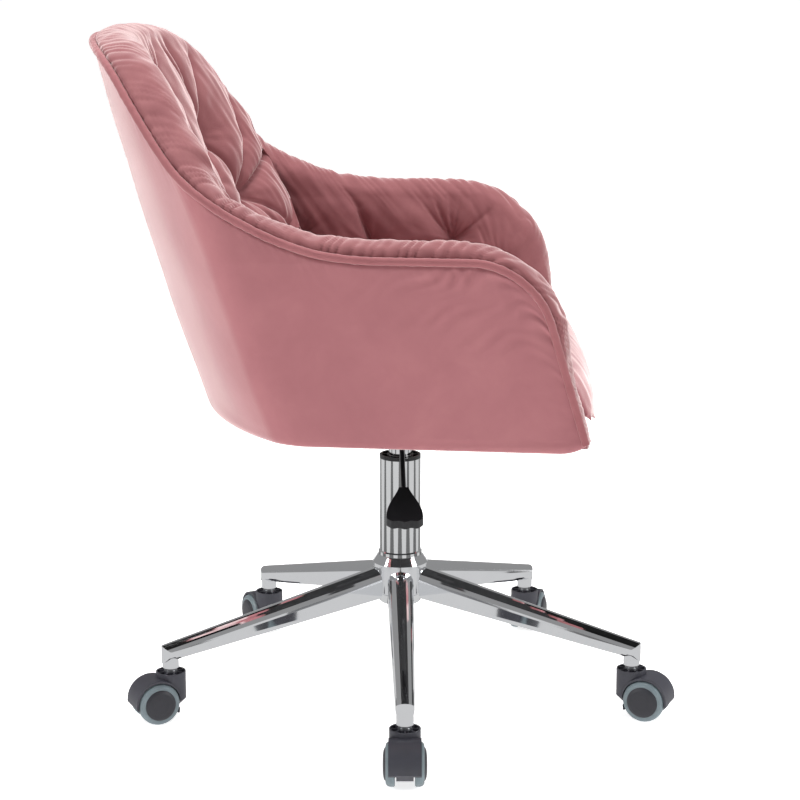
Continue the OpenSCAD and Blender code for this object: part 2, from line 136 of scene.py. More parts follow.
def low_z(u):
    front = clamp01(1 - fold(u) / HEM_ROUND_U)
    return HEM_Z - 6 - 8 * (1 - clamp01(fold(u) / 0.5)) + 9 * front ** 2


def pad_t(u, z):
    """Depth of the padding at u and height z: the back's is thinner towards the rim."""
    back = ease((fold(u) - 0.42) / 0.18)
    top = mix(ARM_PAD_T, BACK_TOP_T, back)
    return mix(top, mix(ARM_PAD_T, BACK_PAD_T, back), ease((rim_z(u) - z) / TAPER_H))


# ---- Mesh helpers ----

def new_object(name, verts, faces):
    mesh = bpy.data.meshes.new(name)
    mesh.from_pydata([tuple(v) for v in verts], [], faces)
    mesh.update()
    mesh.shade_smooth()
    obj = bpy.data.objects.new(name, mesh)
    bpy.context.scene.collection.objects.link(obj)
    return obj


def grid_faces(rows, cols, close_cols=False):
    r = np.arange(rows - 1)
    c = np.arange(cols if close_cols else cols - 1)
    rr, cc = np.meshgrid(r, c, indexing="ij")
    a = rr * cols + cc
    b = rr * cols + (cc + 1) % cols
    d = ((rr + 1) % rows) * cols + cc
    e = ((rr + 1) % rows) * cols + (cc + 1) % cols
    return np.stack([a, b, e, d], -1).reshape(-1, 4)


def skin(name, ring):
    """A closed object from rings of points in mm (rings, points, 3), with a face over each end."""
    n, m = ring.shape[:2]
    faces = [tuple(f) for f in grid_faces(n, m, close_cols=True)]
    faces.append(tuple(range(m))[::-1])
    faces.append(tuple(range((n - 1) * m, n * m)))
    return new_object(name, ring.reshape(-1, 3) * MM, faces)


def grid_normals(p):
    du = np.gradient(p, axis=0)
    dv = np.gradient(p, axis=1)
    n = np.cross(du, dv)
    return n / np.maximum(np.linalg.norm(n, axis=-1, keepdims=True), 1e-9)


def ripple(seed, count, low, high):
    """A smooth seeded random function of two coordinates in mm.

    Its wavelengths run from low to high, and its values stay near -1 to 1."""
    rng = np.random.default_rng(seed)
    wave = rng.uniform(low, high, count)
    turn = rng.uniform(0, 2 * math.pi, count)
    phase = rng.uniform(0, 2 * math.pi, count)

    def value(a, b):
        total = 0
        for w, t, p in zip(wave, turn, phase):
            total = total + np.sin((a * math.cos(t) + b * math.sin(t)) * 2 * math.pi / w + p)
        return total / math.sqrt(count)
    return value


def wander(seed, low, high, count=6):
    """A smooth seeded random function of one coordinate in mm."""
    f = ripple(seed, count, low, high)
    return lambda a: f(a, 0.37 * a)


# ---- Camera: the photograph's view, from the sitter's right ----

cam_data = bpy.data.cameras.new("camera")
cam_data.lens = 103.53
cam_data.sensor_width = 36
cam_data.clip_end = 100
camera = bpy.data.objects.new("camera", cam_data)
camera.location = (-2.703, -0.0588, 0.9577)
camera.rotation_euler = (math.radians(90 - 12.296), 0, math.radians(-90 + 1.25))
bpy.context.scene.collection.objects.link(camera)
bpy.context.scene.camera = camera


# ---- Materials ----

def node_material(name):
    m = bpy.data.materials.new(name)
    m.use_nodes = True
    t = m.node_tree
    bsdf = t.nodes["Principled BSDF"]
    return m, t, bsdf


def add(tree, kind, **values):
    n = tree.nodes.new(kind)
    for key, value in values.items():
        if key in n.inputs:
            n.inputs[key].default_value = value
        else:
            setattr(n, key, value)
    return n


def noise(tree, coord, scale, detail=4.0, rough=0.5, distortion=0.0):
    n = add(tree, "ShaderNodeTexNoise", Scale=scale, Detail=detail, Roughness=rough, Distortion=distortion)
    tree.links.new(coord, n.inputs["Vector"])
    return n.outputs["Fac"]


def ramp(tree, fac, stops):
    n = tree.nodes.new("ShaderNodeValToRGB")
    tree.links.new(fac, n.inputs["Fac"])
    el = n.color_ramp.elements
    el[0].position, el[0].color = stops[0][0], (*stops[0][1], 1)
    el[1].position, el[1].color = stops[-1][0], (*stops[-1][1], 1)
    for pos, col in stops[1:-1]:
        e = el.new(pos)
        e.color = (*col, 1)
    return n.outputs["Color"]


def bump(tree, height, strength, distance, normal=None):
    n = add(tree, "ShaderNodeBump", Strength=strength, Distance=distance)
    tree.links.new(height, n.inputs["Height"])
    if normal is not None:
        tree.links.new(normal, n.inputs["Normal"])
    return n.outputs["Normal"]


# dark, mid and light are the velvet's random tone; the last argument sets how far the painted sheen pales
# that colour at grazing angles
def velvet(name, dark, mid, light, sheen=1.0, painted_sheen_share=0.5):
    m, t, b = node_material(name)
    coord = t.nodes.new("ShaderNodeTexCoord").outputs["Object"]
    brushed = noise(t, coord, 7.0, 5.0, 0.62, 0.8)
    cloud = noise(t, coord, 22.0, 4.0, 0.6, 0.4)
    both = add(t, "ShaderNodeMath", operation="MULTIPLY_ADD")
    t.links.new(cloud, both.inputs[0])
    both.inputs[1].default_value = 0.45
    scaled = add(t, "ShaderNodeMath", operation="MULTIPLY")
    t.links.new(brushed, scaled.inputs[0])
    scaled.inputs[1].default_value = 0.55
    t.links.new(scaled.outputs[0], both.inputs[2])
    colour = ramp(t, both.outputs[0], [(0.34, dark), (0.5, mid), (0.66, light)])
    # painted sheen: where the surface turns away from the camera the base colour is mixed towards a pale
    # pink, standing in for the velvet's grazing sheen
    facing = add(t, "ShaderNodeLayerWeight", Blend=0.5).outputs["Facing"]
    painted_sheen = ramp(t, facing, [(0.4, (0, 0, 0)), (0.7, (0.25 * painted_sheen_share,) * 3), (0.97, (painted_sheen_share,) * 3)])
    sheen_mix = add(t, "ShaderNodeMix", data_type="RGBA")
    t.links.new(painted_sheen, sheen_mix.inputs["Factor"])
    t.links.new(colour, sheen_mix.inputs[6])
    sheen_mix.inputs[7].default_value = (0.80, 0.62, 0.61, 1)
    t.links.new(sheen_mix.outputs[2], b.inputs["Base Color"])
    rough = add(t, "ShaderNodeMapRange")
    t.links.new(cloud, rough.inputs["Value"])
    rough.inputs["To Min"].default_value = 0.72
    rough.inputs["To Max"].default_value = 0.9
    t.links.new(rough.outputs["Result"], b.inputs["Roughness"])
    b.inputs["Sheen Weight"].default_value = sheen
    b.inputs["Sheen Roughness"].default_value = 0.32
    b.inputs["Sheen Tint"].default_value = (1.0, 0.84, 0.83, 1)
    b.inputs["Specular IOR Level"].default_value = 0.18
    pile = noise(t, coord, 1900.0, 2.0, 0.6)
    nap = noise(t, coord, 150.0, 5.0, 0.65, 0.5)
    n1 = bump(t, nap, 0.16, 0.0012)
    n2 = bump(t, pile, 0.35, 0.00035, n1)
    t.links.new(n2, b.inputs["Normal"])
    return m


def chrome(name, tint=(0.86, 0.87, 0.89)):
    m, t, b = node_material(name)
    coord = t.nodes.new("ShaderNodeTexCoord").outputs["Object"]
    smear = noise(t, coord, 14.0, 6.0, 0.7, 1.0)
    colour = ramp(t, smear, [(0.3, tuple(c * 0.97 for c in tint)), (0.7, tint)])
    t.links.new(colour, b.inputs["Base Color"])
    r = add(t, "ShaderNodeMapRange")
    t.links.new(smear, r.inputs["Value"])
    r.inputs["To Min"].default_value = 0.035
    r.inputs["To Max"].default_value = 0.075
    t.links.new(r.outputs["Result"], b.inputs["Roughness"])
    b.inputs["Metallic"].default_value = 1.0
    fine = noise(t, coord, 60.0, 3.0, 0.5)
    t.links.new(bump(t, fine, 0.04, 0.0004), b.inputs["Normal"])
    return m


def plastic(name, colour, rough, grain=900.0, depth=0.0001, coat=0.0):
    m, t, b = node_material(name)
    coord = t.nodes.new("ShaderNodeTexCoord").outputs["Object"]
    cloud = noise(t, coord, 40.0, 4.0, 0.6)
    dark = tuple(v * 0.88 for v in colour)
    light = tuple(min(1, v * 1.1) for v in colour)
    c = ramp(t, cloud, [(0.3, dark), (0.7, light)])
    t.links.new(c, b.inputs["Base Color"])
    r = add(t, "ShaderNodeMapRange")
    t.links.new(cloud, r.inputs["Value"])
    r.inputs["To Min"].default_value = rough - 0.05
    r.inputs["To Max"].default_value = rough + 0.06
    t.links.new(r.outputs["Result"], b.inputs["Roughness"])
    b.inputs["Coat Weight"].default_value = coat
    b.inputs["Coat Roughness"].default_value = 0.12
    g = noise(t, coord, grain, 2.0, 0.5)
    t.links.new(bump(t, g, 0.25, depth), b.inputs["Normal"])
    return m


def wood(name):
    m, t, b = node_material(name)
    coord = t.nodes.new("ShaderNodeTexCoord").outputs["Object"]
    stretch = add(t, "ShaderNodeMapping")
    t.links.new(coord, stretch.inputs["Vector"])
    stretch.inputs["Scale"].default_value = (40, 4, 40)
    grain = noise(t, stretch.outputs["Vector"], 3.0, 6.0, 0.6, 0.6)
    colour = ramp(t, grain, [(0.3, (0.36, 0.22, 0.11)), (0.7, (0.58, 0.42, 0.26))])
    t.links.new(colour, b.inputs["Base Color"])
    b.inputs["Roughness"].default_value = 0.65
    t.links.new(bump(t, grain, 0.2, 0.0004), b.inputs["Normal"])
    return m


velvet_mat = velvet("velvet", (0.312, 0.118, 0.130), (0.335, 0.130, 0.142), (0.362, 0.146, 0.156))
# painted shade: the inner padding is the same velvet given darker colours for the shade inside the shell
shaded_inner_velvet_mat = velvet("velvet_inner_painted_shade", (0.225, 0.080, 0.086), (0.258, 0.097, 0.103), (0.30, 0.120, 0.125))
# painted shade: the piping is the same velvet given darker colours and less painted sheen, for the shadow
# line along the rim
shaded_piping_velvet_mat = velvet("velvet_piping_painted_shade", (0.265, 0.090, 0.098), (0.29, 0.105, 0.113), (0.31, 0.118, 0.125),
                    sheen=0.6, painted_sheen_share=0.12)
chrome_mat = chrome("base_chrome")
column_mat = chrome("column_chrome", (0.88, 0.89, 0.90))
steel_mat = plastic("zinc_steel", (0.55, 0.56, 0.58), 0.3, 300.0)
steel_mat.node_tree.nodes["Principled BSDF"].inputs["Metallic"].default_value = 1.0
hood_mat = plastic("caster_plastic", (0.050, 0.050, 0.064), 0.42)
cap_mat = plastic("cap_plastic", (0.032, 0.032, 0.040), 0.40)
tyre_mat = plastic("tyre_rubber", (0.17, 0.215, 0.235), 0.34, 500.0, 0.00005, 0.2)
black_mat = plastic("black_plastic", (0.010, 0.010, 0.012), 0.34, 1200.0, 0.00004, 0.15)
plate_mat = plastic("black_powder_coat", (0.018, 0.018, 0.020), 0.5, 700.0, 0.0002)
dust_mat = plastic("dust_fabric", (0.014, 0.014, 0.015), 0.9, 1400.0, 0.0003)
wood_mat = wood("plywood")

# The material of each node, or of every node whose name starts with the key
NODE_MATERIALS = {
    "hub": chrome_mat, "leg": chrome_mat, "column_tube": column_mat, "guide_bush": black_mat,
    "caster_stem": steel_mat, "caster_hood": hood_mat, "caster_axle": steel_mat, "wheel": cap_mat,
    "tyre": tyre_mat, "thrust_bearing": steel_mat, "piston_rod": steel_mat, "gas_cylinder": column_mat,
    "release_pin": steel_mat, "seat_plate": plate_mat, "plate_bolts": steel_mat, "lever_rod": black_mat,
    "lever_paddle": black_mat, "seat_board": wood_mat, "shell_frame": wood_mat, "dust_cover": dust_mat}


def dress(obj, material):
    obj.data.materials.clear()
    obj.data.materials.append(material)


for name, obj in nodes.items():
    for key, material in NODE_MATERIALS.items():
        if name == key or name.startswith(key + "_"):
            dress(obj, material)


def upholster(obj, material, *replaced):
    dress(obj, material)
    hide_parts(*replaced)
    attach(obj, "seat")


# ---- Outer cover: one skin round the arms and back, turned under at the hem ----

def outer_cover():
    cols, rows = 620, 120
    u = np.linspace(0, 2, cols)[:, None]
    v = np.linspace(0, 1, rows)[None, :]
    low, high = low_z(u), rim_z(u) - 1.0
    hem = 9.0
    lip = 28.0
    z = mix(low + hem, high, v)
    p = wall_point(u, z, 0.0)
    n = grid_normals(p)
    if n[cols // 2, rows // 2, 1] < 0:
        n = -n
    step = np.linalg.norm(np.diff(p[:, rows // 2], axis=0), axis=-1)
    along = np.concatenate([[0], np.cumsum(step)])[:, None]
    half = along[-1, 0] / 2
    front = np.minimum(along, 2 * half - along)
    down = high - z
    # slack pulls: folds that run down and back from the front top corner of each arm
    pull = ripple(11, 5, 34, 70)
    slant = down * 0.8 - front * 0.6
    fade = np.exp(-((front - 95) / 105.0) ** 2) * np.exp(-np.maximum(down - 40, 0) / 60.0)
    fade = fade * ease(down / 14)
    wave = np.sin(slant / 2.7 + 1.5 * pull(front * 0.5, down))
    folds = (np.abs(wave) ** 0.7 * np.sign(wave)) * (0.55 + 0.45 * pull(down, front * 0.4))
    d = 1.25 * fade * folds
    # small puckers where the cover is sewn to the piping
    pucker = wander(12, 9, 22, 9)
    d = d + 0.45 * pucker(along + 0.25 * down) * np.exp(-down / 13.0)
    # broad unevenness of foam under cloth, and a shallow hollow along the rear corners
    broad = ripple(13, 6, 110, 240)
    d = d + 0.8 * broad(along, z)
    # centre-back seam: the cloth dips to it, with short puckers beside it
    seam = np.abs(along - half)
    d = d - 1.6 * np.exp(-seam / 3.2) + 0.3 * wander(14, 8, 18, 7)(z) * np.exp(-seam / 16.0)
    d = d * ease(v / 0.04) * ease((1 - v) / 0.03 + 0.25)
    # groove beside the piping
    d = d - 2.3 * np.exp(-(np.maximum(down - 3.5, 0) / 2.6) ** 2)
    p = p + n * d[..., None]
    # hem turned under in a small roll
    turn_rows = []
    for off, up in [(0.35, 6.0), (1.4, 3.2), (3.4, 1.1), (6.5, 0.15), (11, 0.0), (19, 0.3), (lip, 0.8)]:
        turn_rows.append(wall_point(u[:, 0], low[:, 0] + up, off))
    inner = [wall_point(u[:, 0], low[:, 0] + 3.0, lip), wall_point(u[:, 0], low[:, 0] + 4.0, 12.0)]
    inner += [wall_point(u[:, 0], mix(low[:, 0] + 12, high[:, 0], f), COVER_T)
              for f in np.linspace(0, 1, 9)]
    ring = np.concatenate([np.stack(turn_rows[::-1], 1), p, np.stack(inner[::-1], 1)], 1)
    obj = skin("outer_skin", ring)
    upholster(obj, velvet_mat, "outer_cover")


# ---- Piping: a corded welt up the front of one arm, round the rim and down the other ----

def tube(name, path, radius, sides=14):
    """A closed tube along path (n, 3), with a radius for each point."""
    d = np.gradient(path, axis=0)
    d /= np.linalg.norm(d, axis=1, keepdims=True)
    up = np.array([0.3, 0.2, 1.0])
    a = np.cross(d, up)
    a /= np.linalg.norm(a, axis=1, keepdims=True)
    b = np.cross(d, a)
    t = np.linspace(0, 2 * math.pi, sides, endpoint=False)
    r = radius[:, None] * np.ones((1, sides))
    around = np.cos(t)[None, :, None] * a[:, None] + np.sin(t)[None, :, None] * b[:, None]
    return skin(name, path[:, None] + r[..., None] * around)


def rim_path():
    u = np.linspace(0, 2, 900)
    rim = wall_point(u, rim_z(u), 0.0)
    f = np.linspace(0, 1, 80)[:-1]
    zs = mix(low_z(0.0) + 4, rim_z(np.array([0.0]))[0], f)
    edge = wall_point(0.0 * zs, zs, 0.0)
    other = edge[::-1] * np.array([-1, 1, 1])
    path = np.concatenate([edge, rim, other])
    length = np.concatenate([[0], np.cumsum(np.linalg.norm(np.diff(path, axis=0), axis=1))])
    even = np.linspace(0, length[-1], 1500)
    return np.stack([np.interp(even, length, path[:, k]) for k in range(3)], 1), even


def piping():
    path, along = rim_path()
    twist = wander(21, 7, 16, 8)(along)
    r = 4.4 + 0.16 * twist
    obj = tube("piping_cord", path, r)
    upholster(obj, shaded_piping_velvet_mat, "piping")


# ---- Inner padding: rolled over the rim, drawn down by blind tufts with pleats between them ----

# (u, z, depth, reach) of each tuft on the left half; each has its mirror at 2 - u
TUFTS = [
    (1.0, 725, 30, 27), (1.227, 683, 32, 27), (1.14, 630, 23, 25), (1.3, 606, 33, 27),
    (1.0, 548, 20, 26), (1.22, 540, 20, 26), (1.485, 533, 15, 22), (1.688, 521, 14, 22),
    (1.848, 528, 16, 22)]
# (place, place, depth, width) of each pleat
PLEATS = [
    ((1.0, 725), (1.14, 630), 13, 12), ((1.14, 630), (1.227, 683), 12, 11),
    ((1.227, 683), (1.3, 606), 13, 11), ((1.14, 630), (1.0, 548), 12, 12),
    ((1.14, 630), (1.22, 540), 10, 12), ((1.3, 606), (1.22, 540), 13, 11),
    ((1.0, 548), (0.93, 440), 9, 13), ((1.0, 548), (1.07, 440), 9, 13),
    ((1.22, 540), (1.14, 440), 9, 13), ((1.22, 540), (1.3, 440), 9, 13),
    ((1.485, 533), (1.485, 440), 9, 9), ((1.0, 725), (1.05, 806), 8, 8),
    ((1.0, 725), (0.95, 806), 8, 8), ((1.0, 725), (1.02, 806), 6, 6), ((1.0, 725), (0.98, 806), 6, 6),
    ((1.0, 725), (0.915, 800), 6, 8), ((1.0, 725), (1.085, 800), 6, 8),
    ((1.227, 683), (1.13, 792), 9, 9), ((1.227, 683), (1.165, 790), 9, 8),
    ((1.227, 683), (1.27, 768), 8, 9), ((1.3, 606), (1.375, 667), 13, 9),
    ((1.375, 667), (1.395, 712), 10, 8), ((1.3, 606), (1.432, 637), 12, 9),
    ((1.432, 637), (1.49, 672), 9, 8), ((1.3, 606), (1.41, 560), 8, 11),
    ((1.41, 560), (1.485, 533), 7, 12), ((1.3, 606), (1.37, 545), 5, 9),
    ((1.485, 533), (1.52, 585), 12, 8), ((1.52, 585), (1.565, 640), 12, 7),
    ((1.688, 521), (1.68, 570), 10, 8), ((1.68, 570), (1.655, 606), 8, 8),
    ((1.688, 521), (1.66, 440), 8, 12), ((1.688, 521), (1.72, 440), 7, 12),
    ((1.848, 528), (1.788, 597), 8, 7), ((1.848, 528), (1.808, 598), 6, 5),
    ((1.848, 528), (1.826, 598), 8, 6), ((1.848, 528), (1.865, 592), 7, 6),
    ((1.848, 528), (1.888, 588), 6, 7), ((1.848, 528), (1.925, 562), 7, 8),
    ((1.848, 528), (1.83, 440), 8, 12), ((1.848, 528), (1.9, 450), 6, 11),
    ((1.485, 533), (1.688, 521), 4, 12), ((1.688, 521), (1.848, 528), 4, 12)]
EDGE_LOW_Z = 373.0
FRONT_ROLL = 14.0


def surface_point(u, z):
    return wall_point(u, z, pad_t(np.asarray(u, float), np.asarray(z, float)))


def side_length():
    """Length of the side panel at arm height, from its front edge to the rear corner."""
    z = np.array([ARM_Z])
    return float((side_xy(np.array([SIDE_U - 1e-6]), z)[1] - front_y(z))[0])


def half_columns():
    """Columns of the right half's padding: up the arm's front edge, over its corner and along the rim.

    Each row holds the column's place on the rim (u, z), the way out from the rim (along the wall, up), its
    foot (u, z) and how far it has turned from leading back to leading down. k is u for each mm of wall."""
    k = SIDE_U / side_length()
    top = ARM_Z - FRONT_ROUND_R
    rows = []
    for z in np.linspace(EDGE_LOW_Z, top, 62)[:-1]:
        e = (z - EDGE_LOW_Z) / (top - EDGE_LOW_Z)
        rows.append((0.0, z, -1.0, 0.0, k * mix(24, 45, e), mix(z, BOARD_TOP_Z, float(ease(e * 2))), e))
    for a in np.linspace(0, math.pi / 2, 48)[:-1]:
        v = FRONT_ROUND_R * (1 - math.cos(a))
        z = top + FRONT_ROUND_R * math.sin(a)
        foot = k * mix(45, FRONT_ROUND_R, a * 2 / math.pi)
        rows.append((k * v, z, -math.cos(a), math.sin(a), foot, BOARD_TOP_Z, 1.0))
    u = np.linspace(k * FRONT_ROUND_R, 1.0, 300)
    z = rim_z(u)
    rows += [(a, b, 0.0, 1.0, a, BOARD_TOP_Z, 1.0) for a, b in zip(u, z)]
    return np.array(rows), k


def section_controls(c):
    """Control points (off, out) of the padding's section at each column, and each column's length.

    They run over the roll from the piping and down the inner face."""
    u, z = c[:, 0], c[:, 1]
    back = ease((fold(u) - 0.42) / 0.18)
    t = mix(ARM_PAD_T, BACK_TOP_T, back)
    full = mix(ARM_PAD_T, BACK_PAD_T, back)
    front = FRONT_ROLL * mix(0.12, 1.0, ease((z - 430) / 90))
    roll = mix(mix(ARM_ROLL, front, -c[:, 2]), BACK_ROLL, ease((fold(u) - 0.5) / 0.3))
    length = np.hypot((c[:, 4] - u) / (SIDE_U / side_length()), c[:, 5] - z)
    inner = lambda d: mix(t, full, ease(d / TAPER_H))
    near = np.minimum(14, length * 0.3)
    mid = np.minimum(32, length * 0.55)
    o = 0 * u
    points = [(5.0 + o, o - 9), (4.2 + o, o - 3), (4.8 + o, roll * 0.34), (t * 0.15, roll * 0.76),
              (t * 0.29, roll * 0.98), (t * 0.42, roll * 1.03), (t * 0.56, roll * 0.93),
              (t * 0.71, roll * 0.6), (t * 0.84, roll * 0.1), (t * 0.93, -near), (inner(mid) * 0.985, -mid)]
    for f in (0.2, 0.4, 0.6, 0.8, 1.0):
        d = mix(mid, length, f)
        points.append((inner(d), -d))
    return np.stack([np.stack(q, -1) for q in points], 1), length


def spline_rows(controls, s):
    """Catmull-Rom through controls (n, k, 2) at parameters s in 0 .. k - 1."""
    k = controls.shape[1]
    i = np.clip(s.astype(int), 0, k - 2)
    f = (s - i)[None, :, None]
    g = lambda j: controls[:, np.clip(j, 0, k - 1)]
    p0, p1, p2, p3 = g(i - 1), g(i), g(i + 1), g(i + 2)
    return 0.5 * (2 * p1 + (p2 - p0) * f + (2 * p0 - 5 * p1 + 4 * p2 - p3) * f ** 2
                  + (3 * p1 - p0 - 3 * p2 + p3) * f ** 3)


def column_place(c, k, length, out):
    """(u, z) at a distance out beyond the rim, or -out down the column towards its foot.

    out is (columns, rows)."""
    p0 = np.stack([c[:, 0] / k, c[:, 1]], -1)[:, None]
    away = c[:, 2:4][:, None]
    foot = np.stack([c[:, 4] / k, c[:, 5]], -1)[:, None]
    turn = ease(c[:, 6] * 1.6)[:, None, None]
    rise = mix(np.array([-1.0, 0.0]), np.array([0.0, 1.0]), turn)
    rise = rise / np.linalg.norm(rise, axis=-1, keepdims=True)
    third = (length / 3)[:, None, None]
    p1, p2 = p0 - away * third, foot + rise * third
    q = clamp01(-out / length[:, None])[..., None]
    inside = (1 - q) ** 3 * p0 + 3 * (1 - q) ** 2 * q * p1 + 3 * (1 - q) * q ** 2 * p2 + q ** 3 * foot
    place = inside + np.maximum(out, 0)[..., None] * away
    return place[..., 0] * k, place[..., 1]


def polyline_distance(p, a, b, steps=8):
    """How far points p (n, 3) are from the pleat from a to b, and how far along it its nearest place is."""
    f = np.linspace(0, 1, steps + 1)
    line = surface_point(mix(a[0], b[0], f), mix(a[1], b[1], f))
    best = np.full(len(p), 1e9)
    where = np.zeros(len(p))
    for k in range(steps):
        s, e = line[k], line[k + 1]
        d = e - s
        h = np.clip(((p - s) @ d) / (d @ d), 0, 1)
        r = np.linalg.norm(p - s - h[:, None] * d, axis=1)
        closer = r < best
        best[closer] = r[closer]
        where[closer] = (k + h[closer]) / steps
    return best, where


def inner_padding():
    c, k = half_columns()
    controls, length = section_controls(c)
    last = controls.shape[1] - 1
    s = np.concatenate([np.linspace(0, 10, 78), np.linspace(10, last, 112)[1:]])
    off_out = spline_rows(controls, s)
    u, z = column_place(c, k, length, off_out[..., 1])
    u = np.concatenate([u, 2 - u[-2::-1]])
    z = np.concatenate([z, z[-2::-1]])
    off = np.concatenate([off_out[..., 0], off_out[-2::-1, :, 0]])
    p = wall_point(u, z, off)
    cols = len(p)
    n = grid_normals(p)
    if n[cols // 2, 150, 1] > 0:
        n = -n
    shape = p.shape[:2]
    flat = p.reshape(-1, 3)
    uu = u.ravel()
    depth = np.zeros(len(flat))
    tufts = TUFTS + [(2 - a, b, d, r) for a, b, d, r in TUFTS if a > 1]
    near_tuft = np.full(len(flat), 1e9)
    rng = np.random.default_rng(31)
    for a, b, d, r in tufts:
        centre = surface_point(a, b)
        v = flat - centre
        dist = np.linalg.norm(v, axis=1)
        near_tuft = np.minimum(near_tuft, dist)
        angle = np.arctan2(v[:, 2], np.where(np.abs(centre[0]) > 215, v[:, 1], v[:, 0]))
        m = rng.integers(8, 12)
        rays = np.cos(m * angle + rng.uniform(0, 6)) + 0.7 * np.cos((m + 5) * angle + rng.uniform(0, 6))
        depth += -d * np.exp(-(dist / r) ** 1.1)
        depth += 1.5 * rays * np.exp(-dist / 24) * ease(dist / 9)
    creases = PLEATS + [((2 - a[0], a[1]), (2 - b[0], b[1]), d, w) for a, b, d, w in PLEATS
                        if abs(a[0] + b[0] - 2) > 0.2 or abs(a[0] - b[0]) > 0.2]
    valley = np.zeros(len(flat))
    near = np.full(len(flat), 1e9)
    for a, b, d, w in creases:
        dist, where = polyline_distance(flat, a, b)
        side = np.sign((b[0] - a[0]) * (flat[:, 2] - a[1]) - (b[1] - a[1]) * (uu - a[0]))
        lean = np.where(side > 0, 0.6, 1.35)
        ends = 1 - 0.4 * ease(where)
        cut = d * ends * (0.85 * np.exp(-dist / (0.34 * w * lean)) + 0.4 * np.exp(-dist / (1.6 * w * lean)))
        valley = np.maximum(valley, cut)
        near = np.minimum(near, dist)
    depth -= valley
    depth += 6.0 * (1 - np.exp(-near / 24.0)) * (1 - np.exp(-near_tuft / 34.0))
    roll_fade = ease((s - 3.0) / 4.2)[None, :]
    depth = depth.reshape(shape) * roll_fade
    # gathers along the roll, slanting back as they come over it
    step = np.linalg.norm(np.diff(p[:, 30], axis=0), axis=-1)
    along = np.concatenate([[0], np.cumsum(step)])[:, None]
    half = along[-1, 0] / 2
    mirror = np.minimum(along, 2 * half - along)
    across = np.linalg.norm(np.diff(p, axis=1), axis=-1)
    over = np.cumsum(np.concatenate([np.zeros((cols, 1)), across], 1), 1)
    warp = wander(32, 24, 80, 7)
    x = mirror + 0.62 * over
    pitch = mix(8.6, 12.5, ease((mirror - 130) / 160))
    swell = np.abs(np.sin(math.pi * x / pitch + 1.5 * warp(x))) ** 0.65
    strength = np.clip(0.75 + 0.4 * ripple(33, 5, 50, 120)(along, over), 0.35, 1.15)
    fade = np.exp(-np.maximum(over - 34, 0) / 20.0) * ease(over / 7)
    arm = 1 - ease((mirror - 560) / 160)
    depth += 3.6 * strength * (swell - 0.72) * fade * mix(0.4, 1.0, arm)
    depth += 0.6 * ripple(34, 7, 22, 60)(along, over) * ease(over / 30) * ease((length.min() + over) / 40)
    foot = ease((s[-1] - s) / 0.8)[None, :]
    p = p + n * (depth * foot)[..., None]
    # the hidden side against the frame, foot to rim
    hidden = []
    for f in np.linspace(0, 1, 8):
        hu, hz = column_place(c, k, length, (-mix(length, np.minimum(11.0, length * 0.3), f))[:, None])
        both_u = np.concatenate([hu[:, 0], 2 - hu[-2::-1, 0]])
        both_z = np.concatenate([hz[:, 0], hz[-2::-1, 0]])
        hidden.append(wall_point(both_u, both_z, PAD_OFF))
    ring = np.concatenate([np.stack(hidden, 1), p], 1)
    obj = skin("tufted_padding", ring)
    upholster(obj, shaded_inner_velvet_mat, "back_pad", "arm_pad_right", "arm_pad_left")


# ---- Seat cushion: swollen by cloth simulation, then creased ----

def swell(obj, pressure, cap, voxel):
    """Remeshes the pad and lets cloth under pressure swell it, with no point moving further than cap mm."""
    scene = bpy.context.scene
    bpy.context.view_layer.objects.active = obj
    remesh = obj.modifiers.new("remesh", "REMESH")
    remesh.mode = "VOXEL"
    remesh.voxel_size = voxel * MM
    bpy.ops.object.modifier_apply(modifier=remesh.name)
    start = np.array([v.co for v in obj.data.vertices])
    cloth = obj.modifiers.new("cloth", "CLOTH")
    cloth.settings.use_pressure = True
    cloth.settings.uniform_pressure_force = pressure
    cloth.settings.effector_weights.gravity = 0
    for k in range(1, 21):
        scene.frame_set(k)
    done = obj.evaluated_get(bpy.context.evaluated_depsgraph_get()).data.vertices
    step = np.array([v.co for v in done]) - start
    reach = np.linalg.norm(step, axis=1, keepdims=True)
    start = start + step * np.minimum(1, cap * MM / np.maximum(reach, 1e-9))
    obj.modifiers.remove(cloth)
    scene.frame_set(1)
    obj.data.vertices.foreach_set("co", start.ravel())
    finer = obj.modifiers.new("finer", "SUBSURF")
    finer.levels = 1
    bpy.ops.object.modifier_apply(modifier=finer.name)
    obj.data.shade_smooth()


